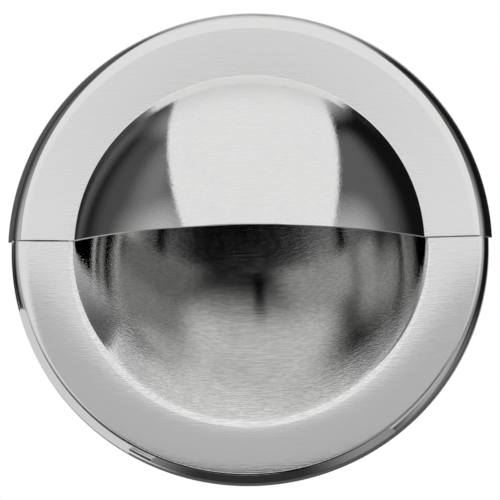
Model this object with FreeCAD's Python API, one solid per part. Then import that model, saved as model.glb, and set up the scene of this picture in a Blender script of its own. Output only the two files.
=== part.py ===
import FreeCAD
import Part
import math
import os

# A round flush pull for a sliding door or a drawer front, half covered by a
# hood. Two stainless steel pressings make it. The dish is let into the door:
# its bowl goes into a round cut-out and its turned-down rim stands on the
# door's face. The hood lies on the upper part of the dish's flange, wraps over
# the rim and bulges outwards. Its straight lower edge leaves the finger opening.
#
# Frame: the origin is the centre of the rim, on the door's face. +X is to the
# right, +Z up towards the hood, -Y out of the door and +Y into it.
# All sizes are in millimetres. Heights are measured from the door's face
# outwards, and a slope is how far the sheet falls towards the middle.

# Dish
dish_sheet = 0.8
rim_diameter = 98.3
rim_height = 4.0
rim_bend = 2.0
flange_slope = math.radians(5.0)
mouth_diameter = 75.0
mouth_bend = 4.0
wall_slope = math.radians(28.5)
wall_bend = 144.0
floor_bend = 50.0

# Hood
hood_sheet = 0.8
hood_lap_clearance = 0.05
hood_door_clearance = 1.8
crease_diameter = 72.5
crease_bend = 0.4
dome_rise = 14.2
finger_edge_height = 1.9

CENTRE = FreeCAD.Vector(0, 0, 0)
OUT_OF_DOOR = FreeCAD.Vector(0, -1, 0)
UPRIGHT = math.radians(-90.0)
LEVEL = 0.0


def point(place):
    """Turn a (radius, height) place of a section into a point in space."""
    radius, height = place
    return FreeCAD.Vector(radius, -height, 0)


def on_bend(centre, radius, slope):
    """Place on a bend where the sheet has this slope; hollow bends have radius < 0."""
    return (centre[0] - radius * math.sin(slope), centre[1] + radius * math.cos(slope))


def bend(centre, radius, first_slope, last_slope):
    """Arc of a section between two slopes."""
    slopes = (first_slope, (first_slope + last_slope) / 2, last_slope)
    ends = [point(on_bend(centre, radius, slope)) for slope in slopes]
    return Part.Arc(*ends).toShape()


def straight(start, end):
    """Straight edge of a section between two places."""
    return Part.LineSegment(point(start), point(end)).toShape()


def flange_height(radius):
    """Height of the dish's flange, which falls evenly from the rim to the mouth."""
    return rim_height - math.tan(flange_slope) * (rim_diameter / 2 - radius)


def rim_centre(outer_radius):
    """Centre of the bend that joins an upright lip to the flange."""
    radius = outer_radius - rim_bend
    return (radius, flange_height(radius) - rim_bend / math.cos(flange_slope))


def rim_edges(outer_radius, lip_end):
    """Lip and rim bend, from the lip's free end to where the flange starts."""
    centre = rim_centre(outer_radius)
    lip = straight((outer_radius, lip_end), on_bend(centre, rim_bend, UPRIGHT))
    return [lip, bend(centre, rim_bend, UPRIGHT, flange_slope)]


def bowl_edges(mouth):
    """Rolled mouth, wall and floor of the bowl, from the flange to the middle."""
    mouth_centre = on_bend(mouth, -mouth_bend, flange_slope)
    wall_top = on_bend(mouth_centre, mouth_bend, wall_slope)
    wall_centre = on_bend(wall_top, wall_bend, wall_slope)
    # The floor's centre is on the pull's axis, which settles where the wall ends.
    floor_slope = math.asin(-wall_centre[0] / (wall_bend - floor_bend))
    wall_foot = on_bend(wall_centre, -wall_bend, floor_slope)
    floor_centre = on_bend(wall_foot, floor_bend, floor_slope)
    return [
        bend(mouth_centre, mouth_bend, flange_slope, wall_slope),
        bend(wall_centre, -wall_bend, wall_slope, floor_slope),
        bend(floor_centre, -floor_bend, floor_slope, LEVEL),
    ]


def dome_edges(crease_centre, crease_radius, top):
    """Crease and spherical dome of the hood's underside, from flange to middle."""
    rise = top - crease_centre[1]
    reach = crease_centre[0]
    dome_radius = (reach ** 2 + rise ** 2 - crease_radius ** 2) / (2 * (rise + crease_radius))
    dome_slope = -math.asin(reach / (dome_radius + crease_radius))
    return [
        bend(crease_centre, -crease_radius, flange_slope, dome_slope),
        bend((0, top - dome_radius), dome_radius, dome_slope, LEVEL),
    ]


def pressing(face_edges, thickness):
    """Sheet of even thickness, turned about the pull's axis from one face's section."""
    section = Part.Wire(face_edges).makeOffset2D(thickness, fill=True, openResult=True)
    return section.revolve(CENTRE, OUT_OF_DOOR, 360)


def make_dish():
    """Full round dish, drawn on the front face of its sheet."""
    rim_radius = rim_diameter / 2
    mouth_radius = mouth_diameter / 2
    mouth = (mouth_radius, flange_height(mouth_radius))
    flange_start = on_bend(rim_centre(rim_radius), rim_bend, flange_slope)
    edges = rim_edges(rim_radius, 0)
    edges.append(straight(flange_start, mouth))
    edges.extend(bowl_edges(mouth))
    return pressing(edges, dish_sheet)


def make_hood():
    """Hood, drawn on the back face of its sheet, which lies on the dish's flange."""
    lip_radius = rim_diameter / 2 + hood_lap_clearance
    crease_radius = crease_bend + hood_sheet
    crease_reach = crease_diameter / 2
    crease_centre_height = flange_height(crease_reach) + crease_radius / math.cos(flange_slope)
    crease_centre = (crease_reach, crease_centre_height)
    flange_start = on_bend(rim_centre(lip_radius), rim_bend, flange_slope)
    flange_end = on_bend(crease_centre, -crease_radius, flange_slope)
    edges = rim_edges(lip_radius, hood_door_clearance)
    edges.append(straight(flange_start, flange_end))
    edges.extend(dome_edges(crease_centre, crease_radius, flange_end[1] + dome_rise))
    full_hood = pressing(edges, -hood_sheet)
    return full_hood.common(space_above(finger_edge_height))


def space_above(level):
    """Block that holds all of the hood above its straight finger edge."""
    reach = rim_diameter
    corner = FreeCAD.Vector(-reach, -reach, level)
    return Part.makeBox(2 * reach, 2 * reach, reach, corner)


def main():
    os.makedirs("parts", exist_ok=True)
    nodes = {"dish": make_dish(), "hood": make_hood()}
    for name, shape in nodes.items():
        shape.exportStep(f"parts/{name}.step")
        box = shape.BoundBox
        print(f"{name}: {box.XLength:.2f} x {box.YLength:.2f} x {box.ZLength:.2f} mm")


main()
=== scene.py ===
# %% [markdown]
# A round flush pull in brushed stainless steel
#
# The real pull is two pressings: a full round dish that is let into a door, and a hood
# that lies over the dish's upper part and bulges outwards. This lesson dresses the
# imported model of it: smooth meshes in place of the faceted ones, a brushed steel
# finish, and the studio that makes bare metal readable.

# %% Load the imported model
import math

import bmesh
import bpy
from mathutils import Matrix, Vector


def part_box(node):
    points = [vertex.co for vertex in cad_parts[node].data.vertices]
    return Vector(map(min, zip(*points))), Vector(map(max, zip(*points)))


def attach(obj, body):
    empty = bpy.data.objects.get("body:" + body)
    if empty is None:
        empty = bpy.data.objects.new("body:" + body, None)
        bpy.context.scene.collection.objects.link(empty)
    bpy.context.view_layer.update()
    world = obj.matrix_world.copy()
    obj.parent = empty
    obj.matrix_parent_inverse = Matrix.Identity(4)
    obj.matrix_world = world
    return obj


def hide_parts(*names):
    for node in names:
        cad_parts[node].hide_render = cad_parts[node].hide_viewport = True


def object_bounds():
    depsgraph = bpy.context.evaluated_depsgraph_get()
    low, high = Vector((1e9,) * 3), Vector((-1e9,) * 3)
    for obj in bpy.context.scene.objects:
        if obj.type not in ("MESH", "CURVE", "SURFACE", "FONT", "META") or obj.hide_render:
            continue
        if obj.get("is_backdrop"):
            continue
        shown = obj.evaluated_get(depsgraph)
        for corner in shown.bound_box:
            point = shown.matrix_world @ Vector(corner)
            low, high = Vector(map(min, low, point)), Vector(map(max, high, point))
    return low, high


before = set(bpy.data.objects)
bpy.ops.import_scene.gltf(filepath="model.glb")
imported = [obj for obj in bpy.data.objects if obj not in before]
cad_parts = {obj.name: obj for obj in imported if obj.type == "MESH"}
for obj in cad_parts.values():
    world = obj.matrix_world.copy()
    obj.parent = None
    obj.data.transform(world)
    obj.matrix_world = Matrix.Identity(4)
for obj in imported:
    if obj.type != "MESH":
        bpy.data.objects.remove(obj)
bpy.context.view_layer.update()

# %% [markdown]
# Sizes
#
# The frame gives the outside sizes: how wide the rims are, and where the hood is cut
# off. Reading them from there, instead of typing them again, keeps the new meshes on
# the model. The sheet's thickness is a value of its own, as both pressings share it.

# %% Take the sizes from the frame
MM = 0.001
sheet = 0.8 * MM
rim_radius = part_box("dish")[1].z
hood_low, hood_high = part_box("hood")
hood_radius = hood_high.z
finger_edge = hood_low.z
print(f"rim radius: dish {rim_radius / MM:.2f} mm, hood {hood_radius / MM:.2f} mm")
print(f"the hood is cut off {finger_edge / MM:.2f} mm above the centre")

# %% [markdown]
# Drawing a section the way sheet metal is formed
#
# A pressing looks the same all round, so one half section is enough. A section could be
# typed in as a list of points, but the maker thinks in straight runs and bends. Each
# stroke here is one of those: a run extrudes the last vertex, and a bend spins it about
# the bend's centre, so every round is a true arc. The sheet's other face takes the same
# strokes, with each bend's radius changed by the thickness. A slope says how far the
# sheet falls towards the middle, so an upright lip has a slope of minus 90 degrees.

# %% Strokes of a section
UPRIGHT = math.radians(-90.0)
LEVEL = 0.0


def falling(slope):
    """Direction along a section, towards the axis, where the sheet has this slope."""
    return Vector((-math.cos(slope), math.sin(slope), 0))


def outward(slope):
    """Direction out of the sheet's front face where the sheet has this slope."""
    return Vector((-math.sin(slope), -math.cos(slope), 0))


class Section:
    """One face of a sheet, drawn in the XY plane from the rim to the axis Y."""

    def __init__(self, bm, start, slope, offset):
        self.bm = bm
        self.slope = slope
        self.offset = offset
        self.tip = bm.verts.new(start + outward(slope) * offset)
        self.first = self.tip

    def run(self, length):
        """Go straight on."""
        made = bmesh.ops.extrude_vert_indiv(self.bm, verts=[self.tip])
        end = made["verts"][0]
        end.co = self.tip.co + falling(self.slope) * length
        self.tip = end

    def bend(self, radius, slope, steps):
        """Turn to another slope; a hollow bend has a radius below zero."""
        centre = self.tip.co - outward(self.slope) * (radius + self.offset)
        made = bmesh.ops.spin(
            self.bm, geom=[self.tip], cent=centre, axis=(0, 0, 1),
            angle=self.slope - slope, steps=steps,
        )
        self.tip = made["geom_last"][0]
        self.slope = slope


def draw_face(bm, start, slope, offset, strokes):
    """Draw one face as far as the axis and give back its first vertex."""
    face = Section(bm, start, slope, offset)
    for kind, *sizes in strokes:
        getattr(face, kind)(*sizes)
    face.tip.co.x = 0.0
    return face.first


# %% [markdown]
# From a section to a pressing
#
# Spinning the section once round the axis gives the whole sheet, with both faces. The
# vertices on the axis fall together and are merged, which closes the poles. The hood is
# cut off along a level line, and the cut shows the sheet's thickness, so it is closed
# with a face of its own.

# %% Spin and cut
RING_STEPS = 320
MERGE_WITHIN = 0.001 * MM


def spin_section(bm):
    """Turn the drawn section once round the axis Y and close it there."""
    bmesh.ops.spin(
        bm, geom=bm.verts[:] + bm.edges[:], cent=(0, 0, 0), axis=(0, 1, 0),
        angle=math.tau, steps=RING_STEPS, use_merge=True,
    )
    bmesh.ops.remove_doubles(bm, verts=bm.verts[:], dist=MERGE_WITHIN)
    bmesh.ops.recalc_face_normals(bm, faces=bm.faces[:])


def cut_off_below(bm, level):
    """Cut the sheet along a level line and close the cut."""
    everything = bm.verts[:] + bm.edges[:] + bm.faces[:]
    bmesh.ops.bisect_plane(
        bm, geom=everything, dist=MERGE_WITHIN, plane_co=(0, 0, level),
        plane_no=(0, 0, 1), clear_inner=True,
    )
    rim = [edge for edge in bm.edges if edge.is_boundary]
    bmesh.ops.contextual_create(bm, geom=rim)
    bmesh.ops.recalc_face_normals(bm, faces=bm.faces[:])


# %% [markdown]
# Edges and shading
#
# The sheet's free edges are trimmed square on the real pull and then deburred, so they
# get a bevel of a tenth of a millimetre. Without it they would catch no light. Edges
# that still turn sharply are marked sharp. Everything else is shaded smooth, or the
# facets would show in the reflections.

# %% Break the edges and finish the piece
EDGE_BREAK = 0.1 * MM
SHARP_TURN = math.radians(14.0)
BURR_TURN = math.radians(60.0)


def turn(edge):
    """Angle that the surface turns by at an edge."""
    return edge.calc_face_angle(0.0)


def break_edges(bm):
    """Bevel the edges that a burr would be taken off."""
    burrs = [edge for edge in bm.edges if turn(edge) > BURR_TURN]
    bmesh.ops.bevel(
        bm, geom=burrs, offset=EDGE_BREAK, offset_type="OFFSET", segments=2,
        profile=0.5, affect="EDGES", material=-1, clamp_overlap=True,
    )


def finish_piece(bm, name, replaced):
    """Shade the pressing, link it and let it stand for its CAD node."""
    big_faces = [face for face in bm.faces if len(face.verts) > 4]
    bmesh.ops.triangulate(bm, faces=big_faces)
    for edge in bm.edges:
        edge.smooth = turn(edge) < SHARP_TURN
    for face in bm.faces:
        face.smooth = True
    open_edges = sum(1 for edge in bm.edges if not edge.is_manifold)
    mesh = bpy.data.meshes.new(name)
    bm.to_mesh(mesh)
    bm.free()
    piece = bpy.data.objects.new(name, mesh)
    bpy.context.scene.collection.objects.link(piece)
    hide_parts(replaced)
    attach(piece, "root")
    print(f"{name}: {len(mesh.polygons)} faces, {open_edges} open edges")
    return piece


# %% [markdown]
# The flange and the rim
#
# The flange falls evenly from the rim to the mouth, and the rim turns down towards the
# door. Both pressings use these: the dish, and the hood's lip that wraps over it. That
# is why the flange's height is a function of the radius, and why each rim's bend is
# worked out from the flange it has to touch.

# %% Heights on the flange
rim_height = 4.0 * MM
rim_bend = 2.0 * MM
flange_slope = math.radians(5.0)
RIM_STEPS = 12


def flange_height(radius):
    """Height of the dish's flange above the door at this radius."""
    return rim_height - math.tan(flange_slope) * (rim_radius - radius)


def rim_bend_centre(outer_radius, bend):
    """Radius and height of the centre of a rim's bend."""
    radius = outer_radius - bend
    return radius, flange_height(radius) - bend / math.cos(flange_slope)


def flange_start(outer_radius, bend):
    """Radius at which the rim's bend ends and the flange begins."""
    return rim_bend_centre(outer_radius, bend)[0] - bend * math.sin(flange_slope)


# %% [markdown]
# The dish
#
# Its bowl isn't a plain part of a ball: the wall is flatter, and it runs into a rounder
# floor. The slope where they meet follows from the floor's centre lying on the axis, so
# it is worked out and not typed in. The whole section is drawn on the front face, the
# one that fingers touch.

# %% Make the dish
mouth_radius = 37.5 * MM
mouth_bend = 4.0 * MM
wall_slope = math.radians(28.5)
wall_bend = 144.0 * MM
floor_bend = 50.0 * MM
MOUTH_STEPS = 8
BOWL_STEPS = 16


def make_dish():
    """Rim, flange, rolled mouth, wall and floor, drawn on the front face."""
    mouth_fall = mouth_bend * (math.sin(flange_slope) - math.sin(wall_slope))
    wall_top = mouth_radius + mouth_fall
    floor_slope = math.asin(
        (wall_bend * math.sin(wall_slope) - wall_top) / (wall_bend - floor_bend)
    )
    flange_width = flange_start(rim_radius, rim_bend) - mouth_radius
    strokes = [
        ("run", rim_bend_centre(rim_radius, rim_bend)[1]),
        ("bend", rim_bend, flange_slope, RIM_STEPS),
        ("run", flange_width / math.cos(flange_slope)),
        ("bend", mouth_bend, wall_slope, MOUTH_STEPS),
        ("bend", -wall_bend, floor_slope, BOWL_STEPS),
        ("bend", -floor_bend, LEVEL, BOWL_STEPS),
    ]
    bm = bmesh.new()
    start = Vector((rim_radius, 0, 0))
    bm.edges.new(
        draw_face(bm, start, UPRIGHT, offset, strokes) for offset in (0, -sheet)
    )
    spin_section(bm)
    break_edges(bm)
    return finish_piece(bm, "pressed_dish", "dish")


dish = make_dish()

# %% [markdown]
# The hood
#
# Its back face lies on the dish's flange. A tight crease turns the flange up into a
# dome that is a part of a ball. The front face takes the same strokes one sheet
# further out, but its rim is rounder, as the press leaves it. The hood is spun whole
# and then cut off along the straight finger edge, because it is made like that too.

# %% Make the hood
hood_lip_end = 1.8 * MM
hood_front_bend = 2.9 * MM
crease_radius = 36.25 * MM
crease_bend = 0.4 * MM
dome_rise = 14.2 * MM
CREASE_STEPS = 8
DOME_STEPS = 30


def make_hood():
    """Lip, rim, flange, crease and dome, measured on the back face."""
    lip_radius = hood_radius - sheet
    back_crease = crease_bend + sheet
    crease_above = back_crease / math.cos(flange_slope)
    crease_height = flange_height(crease_radius) + crease_above
    flange_end = crease_radius + back_crease * math.sin(flange_slope)
    dome_top = flange_height(flange_end) + dome_rise
    rise = dome_top - crease_height
    dome_bend = (
        (crease_radius ** 2 + rise ** 2 - back_crease ** 2) / (2 * (rise + back_crease))
    )
    dome_slope = -math.asin(crease_radius / (dome_bend + back_crease))

    def after_lip(bend):
        """The strokes from the rim's bend to the top of the dome."""
        flange_width = flange_start(lip_radius, bend) - flange_end
        return [
            ("bend", bend, flange_slope, RIM_STEPS),
            ("run", flange_width / math.cos(flange_slope)),
            ("bend", -back_crease, dome_slope, CREASE_STEPS),
            ("bend", dome_bend, LEVEL, DOME_STEPS),
        ]

    bm = bmesh.new()
    lip = ("run", rim_bend_centre(lip_radius, rim_bend)[1] - hood_lip_end)
    back_start = Vector((lip_radius, -hood_lip_end, 0))
    back = draw_face(bm, back_start, UPRIGHT, 0, [lip] + after_lip(rim_bend))
    radius, height = rim_bend_centre(lip_radius, hood_front_bend)
    front_slope = -math.acos((hood_lip_end - height) / (hood_front_bend + sheet))
    front_centre = Vector((radius, -height, 0))
    front_start = front_centre + outward(front_slope) * hood_front_bend
    front = draw_face(bm, front_start, front_slope, sheet, after_lip(hood_front_bend))
    bm.edges.new((back, front))
    spin_section(bm)
    cut_off_below(bm, finger_edge)
    break_edges(bm)
    return finish_piece(bm, "domed_hood", "hood")


hood = make_hood()

# %% [markdown]
# Finishes written as sums
#
# A finish is a tree of nodes, and most of its nodes only add and multiply. Python can
# build those from an ordinary sum, which is far easier to read. So a socket is wrapped
# in a value that answers to plus, minus and times by adding the fitting Math node.

# %% Shader sums as Python expressions


class Value:
    """A number socket that can be used in Python sums."""

    def __init__(self, shader, socket):
        self.shader = shader
        self.socket = socket

    def sum(self, operation, first, second):
        """Add a Math node for this operation."""
        return self.shader.node(
            "ShaderNodeMath", {"operation": operation}, {0: first, 1: second}
        )

    def __add__(self, other):
        return self.sum("ADD", self, other)

    def __radd__(self, other):
        return self.sum("ADD", other, self)

    def __sub__(self, other):
        return self.sum("SUBTRACT", self, other)

    def __rsub__(self, other):
        return self.sum("SUBTRACT", other, self)

    def __mul__(self, other):
        return self.sum("MULTIPLY", self, other)

    def __rmul__(self, other):
        return self.sum("MULTIPLY", other, self)


class Shader:
    """A material's or the world's node tree."""

    def __init__(self, owner):
        owner.use_nodes = True
        self.tree = owner.node_tree
        self.tree.nodes.clear()

    def node(self, kind, settings=None, inputs=None, output=0):
        """Add a node, set it up, then give its inputs values or links."""
        made = self.tree.nodes.new(kind)
        for name, setting in (settings or {}).items():
            setattr(made, name, setting)
        for key, given in (inputs or {}).items():
            if isinstance(given, Value):
                self.tree.links.new(given.socket, made.inputs[key])
            else:
                made.inputs[key].default_value = given
        if not made.outputs:
            return made
        return Value(self, made.outputs[output])


def new_material(name):
    """A fresh material and its shader."""
    material = bpy.data.materials.new(name)
    return material, Shader(material)


def object_place(shader):
    """Where on the object a point is, in metres."""
    return shader.node("ShaderNodeTexCoord", output="Object")


def along(shader, place, axis):
    """One coordinate of a place."""
    return shader.node("ShaderNodeSeparateXYZ", None, {0: place}, output=axis)


# %% [markdown]
# Brush marks
#
# Brushing leaves fine scratches that all run one way. A plain noise has round spots, so
# the place is squeezed along X before the noise looks it up, and the spots come out as
# long marks. A soft step then gives the marks more contrast.

# %% Noise that is drawn out along X
NOISE_DETAIL = 2.0
NOISE_ROUGHNESS = 0.6
MARK_MIDDLE = 0.5
MARK_SOFTNESS = 0.5


def soft_step(shader, value, middle, softness):
    """0 well below the middle, 1 well above it."""
    return shader.node(
        "ShaderNodeMapRange",
        {"interpolation_type": "SMOOTHSTEP", "clamp": True},
        {
            "Value": value,
            "From Min": middle - softness / 2, "From Max": middle + softness / 2,
        },
        output="Result",
    )


def brush_marks(shader, place, length, width):
    """Marks of this length along X and this width."""
    scale = (1 / length, 1 / width, 1 / width)
    stretched = shader.node(
        "ShaderNodeMapping", {"vector_type": "POINT"}, {"Vector": place, "Scale": scale}
    )
    noise = shader.node(
        "ShaderNodeTexNoise", {"noise_dimensions": "3D"},
        {
            "Vector": stretched, "Scale": 1.0, "Detail": NOISE_DETAIL,
            "Roughness": NOISE_ROUGHNESS,
        },
    )
    return soft_step(shader, noise, MARK_MIDDLE, MARK_SOFTNESS)


# %% [markdown]
# Where the steel differs
#
# A pull isn't even all over. The bowl's brushing is lively, the flange is duller and more
# even, and hands and cleaning rub the rim. Along the finger edge the colour is lighter: a
# painted highlight for the light that the cut edge catches. Each of these zones is a value
# between 0 and 1 that depends on the distance from the axis, or on the height for the
# finger edge. Painted maps would do it too, but these follow the sizes.

# %% Zones of the steel
MOUTH_BLEND = 2.0 * MM
WEAR_AND_HIGHLIGHT_WIDTH = 0.8 * MM
WEAR_AND_HIGHLIGHT_LEAST = 0.5
CLOUD_SCALE = 90.0
CLOUD_DETAIL = 3.0


def cloudy(shader, place):
    """A slow, soft variation."""
    return shader.node(
        "ShaderNodeTexNoise", None,
        {"Vector": place, "Scale": CLOUD_SCALE, "Detail": CLOUD_DETAIL},
    )


def distance_from_axis(shader, place):
    """Distance from the axis Y."""
    flat = shader.node(
        "ShaderNodeVectorMath", {"operation": "MULTIPLY"}, {0: place, 1: (1, 0, 1)}
    )
    return shader.node(
        "ShaderNodeVectorMath", {"operation": "LENGTH"}, {0: flat}, output="Value"
    )


def wear_and_edge_highlight_zone(shader, place, radius, cloud, straight_edge):
    """1 at the worn rim, and below the straight edge's level for a painted highlight along
    that edge; uneven all over.
    """
    rim = soft_step(shader, radius, rim_radius, WEAR_AND_HIGHLIGHT_WIDTH)
    height = along(shader, place, "Z")
    # Painted highlight: a light band along the hood's straight cut edge, standing in for
    # the light that edge catches.
    edge = 1 - soft_step(shader, height, straight_edge, WEAR_AND_HIGHLIGHT_WIDTH)
    unevenness = WEAR_AND_HIGHLIGHT_LEAST + (1 - WEAR_AND_HIGHLIGHT_LEAST) * cloud
    return rim.sum("MAXIMUM", rim, edge) * unevenness


# %% [markdown]
# Brushed stainless steel
#
# The sheet was brushed from side to side before it was pressed, so the fine scratches
# run along X everywhere, over the dome as well. Scratches spread a reflection across
# themselves: it is smeared upwards and downwards, and stays crisp from left to right.
# Cycles does that with an anisotropic surface. The marks also change the colour, the
# roughness and, by a few thousandths of a millimetre, the relief.

# %% Mix the steel
FINE_MARK = (2.6 * MM, 0.22 * MM)
COARSE_MARK = (9.0 * MM, 0.36 * MM)
FINE_SHARE = 0.6
MARK_SHARE = 0.8
DARK_STEEL = (0.76, 0.76, 0.755, 1)
BRIGHT_STEEL = (0.98, 0.98, 0.975, 1)
MIDDLE_TONE = 0.5
FLANGE_CONTRAST = 0.2
BOWL_CONTRAST = 2.0
DOME_CONTRAST = 0.45
# How much lighter the steel's colour is in that zone: wear on the rim, a painted highlight
# along the finger edge.
WEAR_AND_HIGHLIGHT_BRIGHTER = 0.3
ROUGHNESS = 0.016
ROUGHER_OUTSIDE = 0.026
ROUGHER_MARKS = 0.024
ROUGHER_WEAR_AND_HIGHLIGHT = 0.06
ROUGHER_BEND = 0.1
SCRATCH_DEPTH = 0.005 * MM
FLANGE_RELIEF = 0.4
ANISOTROPY = 0.92
QUARTER_TURN = 0.25


def make_brushed_steel(name, inner_contrast, straight_edge):
    """Satin stainless steel with its grain along X."""
    material, shader = new_material(name)
    place = object_place(shader)
    fine = brush_marks(shader, place, *FINE_MARK)
    coarse = brush_marks(shader, place, *COARSE_MARK)
    cloud = cloudy(shader, place)
    radius = distance_from_axis(shader, place)
    inside = 1 - soft_step(shader, radius, mouth_radius, MOUTH_BLEND)
    # Worn rim, and a painted highlight along the finger edge.
    wear_and_edge_highlight = wear_and_edge_highlight_zone(shader, place, radius, cloud, straight_edge)
    bend = soft_step(shader, radius, rim_radius - rim_bend / 2, rim_bend)
    marks = fine * FINE_SHARE + coarse * (1 - FINE_SHARE)
    tone = marks * MARK_SHARE + cloud * (1 - MARK_SHARE)
    contrast = FLANGE_CONTRAST + (inner_contrast - FLANGE_CONTRAST) * inside
    brightness = MIDDLE_TONE + (tone - MIDDLE_TONE) * contrast
    # The colour is lightened where the rim is worn, and along the finger edge, where the
    # lighter band is a painted highlight.
    colour = shader.node(
        "ShaderNodeMix", {"data_type": "RGBA"},
        {
            "Factor": brightness + WEAR_AND_HIGHLIGHT_BRIGHTER * wear_and_edge_highlight,
            "A": DARK_STEEL, "B": BRIGHT_STEEL,
        },
        output="Result",
    )
    satin = ROUGHNESS + ROUGHER_OUTSIDE * (1 - inside) + ROUGHER_MARKS * marks
    roughness = satin + ROUGHER_WEAR_AND_HIGHLIGHT * wear_and_edge_highlight + ROUGHER_BEND * bend
    relief = marks * (FLANGE_RELIEF + (1 - FLANGE_RELIEF) * inside)
    bump = shader.node(
        "ShaderNodeBump", None,
        {"Strength": 1.0, "Distance": SCRATCH_DEPTH, "Height": relief},
    )
    steel = shader.node(
        "ShaderNodeBsdfPrincipled", None,
        {
            "Base Color": colour, "Metallic": 1.0, "Roughness": roughness,
            "Anisotropic": ANISOTROPY, "Anisotropic Rotation": QUARTER_TURN,
            "Normal": bump,
        },
    )
    shader.node("ShaderNodeOutputMaterial", None, {"Surface": steel})
    return material


# %% [markdown]
# Laying the grain
#
# The anisotropic grain follows a direction that goes round the Z axis of the mesh's
# texture space. Round the pull's own middle it would make rings, like on a turned
# part. So the texture space is moved far behind the pull, where "round" has become
# straight along X. An unwrapped map could do it as well, but this needs none.

# %% Give both pressings their steel
GRAIN_POLE = 20.0


def lay_grain_along_x(piece):
    """Move the texture space far behind the pull, so that the grain runs along X."""
    mesh = piece.data
    mesh.use_auto_texspace = False
    mesh.texspace_location = (0, GRAIN_POLE, 0)
    mesh.texspace_size = (1, 1, 1)


for piece, contrast, edge in (
    (dish, BOWL_CONTRAST, -rim_radius), (hood, DOME_CONTRAST, finger_edge)
):
    steel = make_brushed_steel(f"{piece.name}_steel", contrast, edge)
    piece.data.materials.append(steel)
    lay_grain_along_x(piece)
    print(f"{steel.name}: {len(steel.node_tree.nodes)} nodes")

# %% [markdown]
# The studio
#
# Bare metal has no look of its own: it shows what stands round it. The background that
# the camera sees is the plain white world, with a pale floor far below. Everything that
# comes after it is seen only in the metal.

# %% Background and floor
WHITE = (1, 1, 1, 1)
FLOOR_LEVEL = -3.0
FLOOR_RADIUS = 16.0
FLOOR_TONE = (0.88, 0.88, 0.88, 1)


def stage_piece(bm, name, material):
    """Link a thing of the studio that isn't part of the pull."""
    mesh = bpy.data.meshes.new(name)
    bm.to_mesh(mesh)
    bm.free()
    mesh.materials.append(material)
    thing = bpy.data.objects.new(name, mesh)
    bpy.context.scene.collection.objects.link(thing)
    thing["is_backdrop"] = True
    return thing


def make_world():
    """An even white surrounding at full strength."""
    world = bpy.data.worlds.new("studio")
    bpy.context.scene.world = world
    shader = Shader(world)
    background = shader.node(
        "ShaderNodeBackground", None, {"Color": WHITE, "Strength": 1.0}
    )
    shader.node("ShaderNodeOutputWorld", None, {"Surface": background})


def make_floor():
    """A pale floor far below the pull."""
    material, shader = new_material("pale_floor")
    pale = shader.node(
        "ShaderNodeBsdfDiffuse", None, {"Color": FLOOR_TONE, "Roughness": 0.0}
    )
    shader.node("ShaderNodeOutputMaterial", None, {"Surface": pale})
    bm = bmesh.new()
    bmesh.ops.create_circle(bm, cap_ends=True, segments=64, radius=FLOOR_RADIUS)
    bmesh.ops.translate(bm, vec=(0, 0, FLOOR_LEVEL), verts=bm.verts[:])
    stage_piece(bm, "floor", material)


make_world()
make_floor()
print(f"floor {-FLOOR_LEVEL} m below the pull")

# %% [markdown]
# The light tent
#
# Photographers hang small shiny things in a tent of white and grey cloth. This one is a
# glowing ball whose tones are painted by direction: how far round from the front, and
# how high. Each patch of the list is a soft-edged window in both, and the brightest
# patch wins. The sides are dark, which draws the dome's edges and the rims. The paper
# below is white, and the bowl shows it after several reflections.

# %% Tones of the tent
TENT_RADIUS = 2.5
TENT_DARK = 0.006
TENT_PATCHES = [
    # tone, from left to right, from low to high, softness across and upwards: degrees
    (0.70, (-180, 180), (68, 100), 20, 18),
    (0.50, (-84, 44), (58, 80), 40, 26),
    (0.58, (-60, -26), (-1, 25), 40, 34),
    (0.50, (24, 60), (-1, 25), 24, 34),
    (0.19, (-64, -40), (10, 60), 24, 20),
    (0.07, (-80, -40), (10, 60), 14, 10),
    (0.10, (-140, -86), (10, 60), 8, 10),
    (0.11, (40, 72), (10, 58), 16, 10),
    (0.22, (-66, -20), (-30, -1), 12, 8),
    (0.34, (-76, -14), (-48, -18), 16, 18),
    (0.62, (-36, 0), (-75, -32), 16, 24),
    (0.68, (-50, 0), (-80, -39), 8, 6),
    (0.50, (10, 40), (-21, -1), 14, 12),
    (0.48, (40, 56), (-33, -4), 12, 16),
    (0.40, (50, 72), (-36, -17), 12, 14),
    (0.34, (62, 86), (-44, -29), 16, 10),
    (0.84, (-140, -98), (-56, -4), 14, 10),
    (0.16, (70, 125), (-60, -10), 18, 16),
    (0.90, (-24, 29), (-80, -16.5), 18, 17),
    (0.95, (-28, 14), (-75, -44), 16, 12),
    (0.74, (10, 44), (-75, -46), 16, 10),
    (0.60, (150, 230), (0, 60), 20, 20),
    (0.60, (-210, -150), (0, 60), 20, 20),
    (0.10, (130, 240), (-60, 0), 40, 30),
    (0.10, (-240, -130), (-60, 0), 40, 30),
]
print("tent patches:", len(TENT_PATCHES))

# %% [markdown]
# Painting by direction
#
# A point's direction comes from its place on the ball, made one unit long. Its angle
# round and its angle up follow from that by an arc tangent and an arc sine. The paint
# is an emission, not a white cloth under lamps: its tones are then known exactly.

# %% Paint and hang the tent
TO_DEGREES = 180 / math.pi


def glow(shader, strength):
    """Let the whole surface glow with this strength."""
    paint = shader.node(
        "ShaderNodeEmission", None, {"Color": WHITE, "Strength": strength}
    )
    shader.node("ShaderNodeOutputMaterial", None, {"Surface": paint})


def soft_window(shader, value, low, high, softness):
    """1 between low and high."""
    rise = soft_step(shader, value, low, softness)
    fall = soft_step(shader, value, high, softness)
    return rise * (1 - fall)


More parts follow.
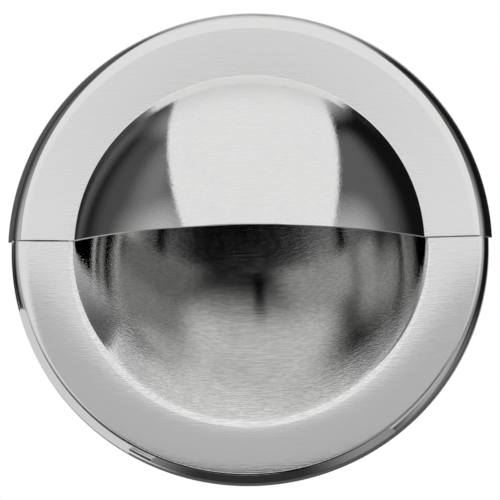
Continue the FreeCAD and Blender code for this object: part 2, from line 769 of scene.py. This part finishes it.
def make_tent_paint():
    """Glowing paper whose tone depends on the direction."""
    material, shader = new_material("tent_paper")
    place = object_place(shader)
    towards = shader.node(
        "ShaderNodeVectorMath", {"operation": "NORMALIZE"}, {0: place}
    )
    x, y, z = (along(shader, towards, axis) for axis in "XYZ")
    around = x.sum("ARCTAN2", x, 0 - y) * TO_DEGREES
    height = z.sum("ARCSINE", z, 0.0) * TO_DEGREES
    tone = 0.0
    for strength, (left, right), (low, high), across, upwards in TENT_PATCHES:
        patch = strength * soft_window(shader, around, left, right, across)
        patch = patch * soft_window(shader, height, low, high, upwards)
        tone = patch.sum("MAXIMUM", patch, tone)
    glow(shader, tone.sum("MAXIMUM", tone, TENT_DARK))
    return material


def hide_from_camera(thing):
    """Leave a thing to the reflections, as it would stand in the camera's way."""
    thing.visible_camera = False
    thing.visible_diffuse = False


tent_bm = bmesh.new()
bmesh.ops.create_uvsphere(tent_bm, u_segments=64, v_segments=32, radius=TENT_RADIUS)
bmesh.ops.reverse_faces(tent_bm, faces=tent_bm.faces[:])
tent = stage_piece(tent_bm, "light_tent", make_tent_paint())
hide_from_camera(tent)
print(f"{tent.name}: {tent.dimensions.x:.1f} m wide")

# %% [markdown]
# The soft box
#
# One big soft light leans over the pull from in front. It makes the bright window on
# the dome, which is why its low edge and its sides matter more than its size. The cloth
# of a real one is brightest in the middle, so it dims low down and high up. It could
# be an area lamp, but a glowing rectangle is seen by the metal just as it is.

# %% Hang the soft box
BOX_TILT = math.radians(36.0)
BOX_DISTANCE = 1.0
BOX_HALF_WIDTH = 0.695
BOX_LOW_EDGE = 0.035
BOX_SHIFT = 0.10
BOX_REACH = 3.2
BOX_LEAN = Vector((-0.10, 0, 0))
BOX_TONE = 0.83
BOX_LOW_TONE = 0.47
BOX_LOW_CHANGE = (0.14, 0.26)
BOX_HIGH_TONE = 0.68
BOX_HIGH_CHANGE = (1.58, 0.66)


def box_cloth():
    """Cloth that is brightest in the middle and dimmer low down and high up."""
    material, shader = new_material("soft_box_cloth")
    z = along(shader, object_place(shader), "Z")
    not_low = soft_step(shader, z, *BOX_LOW_CHANGE)
    low = (BOX_TONE - BOX_LOW_TONE) * (1 - not_low)
    high = (BOX_TONE - BOX_HIGH_TONE) * soft_step(shader, z, *BOX_HIGH_CHANGE)
    glow(shader, BOX_TONE - low - high)
    return material


def make_panel(name, low, half_width, reach, cloth):
    """A plain rectangle that rises from its low edge's middle by reach."""
    bm = bmesh.new()
    left = bm.verts.new(low - Vector((half_width, 0, 0)))
    right = bm.verts.new(low + Vector((half_width, 0, 0)))
    edge = bm.edges.new((left, right))
    made = bmesh.ops.extrude_edge_only(bm, edges=[edge])
    raised = [part for part in made["geom"] if isinstance(part, bmesh.types.BMVert)]
    bmesh.ops.translate(bm, vec=reach, verts=raised)
    hide_from_camera(stage_piece(bm, name, cloth))
    print(f"{name}: {2 * half_width:.3f} m wide, reaches {reach.length:.4f} m")


def make_soft_box():
    """A glowing rectangle that leans over the pull from in front."""
    towards = Vector((0, -math.cos(BOX_TILT), math.sin(BOX_TILT)))
    upwards = Vector((0, math.sin(BOX_TILT), math.cos(BOX_TILT)))
    centre = towards * BOX_DISTANCE
    low = centre + upwards * (BOX_LOW_EDGE - centre.z) / upwards.z
    low.x = BOX_SHIFT
    reach = (upwards + BOX_LEAN) * BOX_REACH
    make_panel("soft_box", low, BOX_HALF_WIDTH, reach, box_cloth())


make_soft_box()

# %% [markdown]
# Strips and stand
#
# The camera's stand is dark, and the bowl shows it as the dark patch under the middle
# of the hood. Two strips hang close before the pull. The dish's flange faces the grey
# one and takes its even light tone from it, and the dark one below it darkens the turn
# of the rim. Each is a flat panel of one tone, as reflections this small show no more.

# %% Set up the strips and the stand
STRIP_DISTANCE = 0.18
STRIP_SHIFT = 0.010
STRIP_HALF_WIDTH = 0.050
STRIPS = [
    # name, tone, low edge, high edge in metres
    ("dark_strip", 0.05, -0.012, 0.004),
    ("grey_strip", 0.49, 0.004, 0.033),
]
STAND_LOW_END = Vector((0.057, -1.37, -0.44))
STAND_HALF_WIDTH = 0.046
STAND_RISE = Vector((0, 0, 0.35))


def plain_glow(name, tone):
    """An even glow, or black where the tone is 0."""
    material, shader = new_material(name)
    glow(shader, tone)
    return material


for name, tone, low, high in STRIPS:
    strip_low = Vector((STRIP_SHIFT, -STRIP_DISTANCE, low))
    strip_rise = Vector((0, 0, high - low))
    cloth = plain_glow(f"{name}_cloth", tone)
    make_panel(name, strip_low, STRIP_HALF_WIDTH, strip_rise, cloth)
make_panel(
    "camera_stand", STAND_LOW_END, STAND_HALF_WIDTH, STAND_RISE,
    plain_glow("stand_black", 0.0),
)

# %% [markdown]
# Cards close to the rim
#
# Small cards right beside a shiny thing change one edge of it and leave the rest alone.
# Two are bent round the rim, just outside it. The light one at the lower left gives the
# rim its bright line there, and the dark one makes the dark line at the bottom. The
# dark one pales towards its ends, or they would show as hard steps.

# %% Bend the cards round the rim
CARD_RADIUS = 0.0515
CARD_STEPS = 24
CARDS = [
    # name, tones in the middle and aside, where and how softly they change,
    # front and back edge, first and last angle in degrees
    ("light_card", (0.68, 0.68), (0.020, 0.010), (-0.011, 0.004), (194, 239)),
    ("dark_card", (0.03, 0.28), (0.019, 0.016), (-0.019, -0.002), (245, 308)),
]


def card_paper(name, tones, change):
    """A card's paper, with another tone towards the left and the right."""
    material, shader = new_material(name)
    middle, outer = tones
    x = along(shader, object_place(shader), "X")
    aside = soft_step(shader, x.sum("ABSOLUTE", x, 0.0), *change)
    glow(shader, middle + (outer - middle) * aside)
    return material


def make_round_card(name, paper, depths, angles):
    """A strip of card bent round the rim, just outside it."""
    bm = bmesh.new()
    start, end = (math.radians(angle) for angle in angles)
    x, z = CARD_RADIUS * math.cos(start), CARD_RADIUS * math.sin(start)
    ends = [bm.verts.new((x, depth, z)) for depth in depths]
    edge = bm.edges.new(ends)
    bmesh.ops.spin(
        bm, geom=ends + [edge], cent=(0, 0, 0), axis=(0, -1, 0),
        angle=end - start, steps=CARD_STEPS,
    )
    hide_from_camera(stage_piece(bm, name, paper))
    print(f"{name}: from {angles[0]} to {angles[1]} degrees round the rim")


for name, tones, change, depths, angles in CARDS:
    make_round_card(name, card_paper(f"{name}_paper", tones, change), depths, angles)

# %% [markdown]
# A flag before the finger edge
#
# Photographers call a small card that stops light a flag. This one stands just in front
# of the middle of the hood's straight edge. It stops light that would pass the edge and
# fall on the bowl's lower wall, and so the bright ring round the mouth stays narrow.

# %% Place the flag
FLAG_HALF_WIDTH = 0.0085
FLAG_TONES = (0.62, 0.40)
FLAG_CHANGE = (0.0055, 0.005)
FLAG_START = -0.0181
FLAG_ABOVE_EDGE = 0.0003
FLAG_REACH = Vector((0, -0.0022, 0))

flag_low = Vector((0, FLAG_START, finger_edge + FLAG_ABOVE_EDGE))
flag_cloth = card_paper("flag_cloth", FLAG_TONES, FLAG_CHANGE)
make_panel("grey_flag", flag_low, FLAG_HALF_WIDTH, FLAG_REACH, flag_cloth)

# %% [markdown]
# The camera
#
# The picture was taken from a little below and a little to the right, from far enough
# away for the circles to stay nearly even. The lens is worked out from the scale that
# the pull has in the picture, and the shifts put its middle where the picture has it,
# without turning the camera.

# %% Set up the camera
PIXELS_PER_METRE = 4.857 / MM
IMAGE_WIDTH = 500
PULL_CENTRE = (250.2, 251.0)
VIEW_AZIMUTH = math.radians(3.0)
VIEW_ELEVATION = math.radians(-11.7)
DISTANCE = 1.5
SENSOR = 36.0


def make_camera():
    """A long lens from a little below and a little to the right."""
    back = Vector((
        math.sin(VIEW_AZIMUTH) * math.cos(VIEW_ELEVATION),
        -math.cos(VIEW_AZIMUTH) * math.cos(VIEW_ELEVATION),
        math.sin(VIEW_ELEVATION),
    ))
    data = bpy.data.cameras.new("camera")
    data.sensor_width = SENSOR
    data.lens = SENSOR * DISTANCE * PIXELS_PER_METRE / IMAGE_WIDTH
    half = IMAGE_WIDTH / 2
    data.shift_x = (half - PULL_CENTRE[0]) / IMAGE_WIDTH
    data.shift_y = (PULL_CENTRE[1] - half) / IMAGE_WIDTH
    camera = bpy.data.objects.new("camera", data)
    bpy.context.scene.collection.objects.link(camera)
    aim = back.to_track_quat("Z", "Y").to_matrix().to_4x4()
    camera.matrix_world = Matrix.Translation(back * DISTANCE) @ aim
    bpy.context.scene.camera = camera
    print(f"camera: {data.lens:.0f} mm lens at {DISTANCE} m")


make_camera()

# %% [markdown]
# Finishing the scene
#
# The tones are shown as they are, without a film look, so that white stays white. The
# dressed part's box is printed in millimetres.

# %% Finish the scene
scene = bpy.context.scene
scene.view_settings.view_transform = "Standard"
visual_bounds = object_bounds()
for corner in visual_bounds:
    print("visual box corner in mm:", [round(place / MM, 2) for place in corner])
